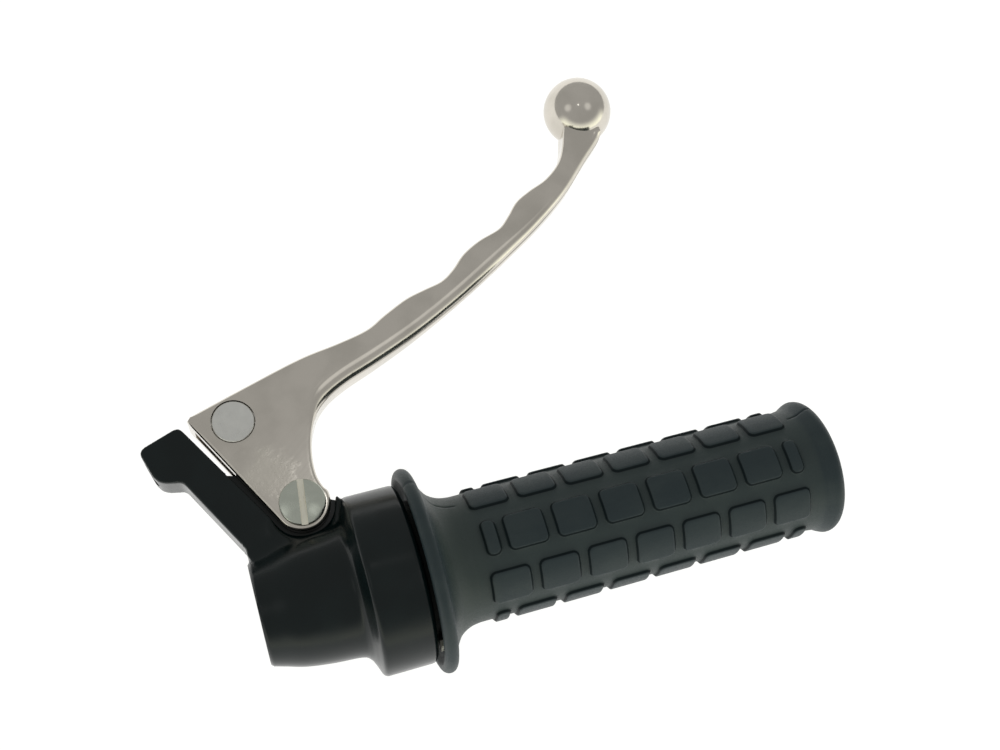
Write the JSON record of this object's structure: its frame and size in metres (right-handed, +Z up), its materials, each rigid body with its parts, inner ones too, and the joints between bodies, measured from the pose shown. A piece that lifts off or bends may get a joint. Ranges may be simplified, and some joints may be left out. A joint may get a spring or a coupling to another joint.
{
  "type": "motorcycle throttle grip with brake lever",
  "caption": "Right-hand twist throttle for a moped: cast housing with a cable drum inside, ribbed rubber grip and a ball-ended brake lever on a slotted pivot screw.",
  "frame": {"origin": "on the handlebar's axis, at the inboard end face of the housing", "axes": "+X outboard along the handlebar towards the grip's closed end, +Y forward to the brake lever, +Z up along the lever's pivot"},
  "size_m": [0.1759, 0.1555, 0.0584],
  "materials": {
    "black_paint": "gloss",
    "grip_rubber": "satin",
    "cast_aluminium": "satin",
    "zinc_steel": "satin",
    "pin_steel": "matte",
    "brass": "satin"
  },
  "bodies": {
    "housing": {"housing": "black_paint", "clamp_bolt": "zinc_steel", "clamp_lock_nut": "zinc_steel", "clamp_pressure_pad": "zinc_steel", "drum_cover": "zinc_steel", "cover_screw_1": "zinc_steel", "cover_screw_2": "zinc_steel", "cover_screw_3": "zinc_steel", "pivot_bush": "brass"},
    "throttle": {"throttle_tube": "zinc_steel", "cable_drum": "cast_aluminium", "drum_pin_1": "zinc_steel", "drum_pin_2": "zinc_steel", "thrust_washer": "zinc_steel", "friction_washer": "zinc_steel", "grip_rubber": "grip_rubber"},
    "lever": {"brake_lever": "cast_aluminium", "pivot_screw": "zinc_steel", "pivot_lock_washer": "zinc_steel", "pivot_nut": "zinc_steel"},
    "swivel": {"cable_pin": "pin_steel"}
  },
  "joints": [
    {"name": "throttle_twist", "type": "hinge", "parent": "housing", "child": "throttle", "pos_m": [0.0326, 0, 0], "axis": [1, 0, 0], "range_deg": [0, 75]},
    {"name": "lever_squeeze", "type": "hinge", "parent": "housing", "child": "lever", "pos_m": [0.017, 0.024, 0], "axis": [0, 0, -1], "range_deg": [0, 36]},
    {"name": "pin_swivel", "type": "hinge", "parent": "lever", "child": "swivel", "pos_m": [0.0049, 0.0491, 0], "axis": [0, 0, -1], "range_deg": [-32, 0]}
  ],
  "couplings": [
    {"joint": "pin_swivel", "follows": "lever_squeeze", "ratio": -0.87}
  ]
}
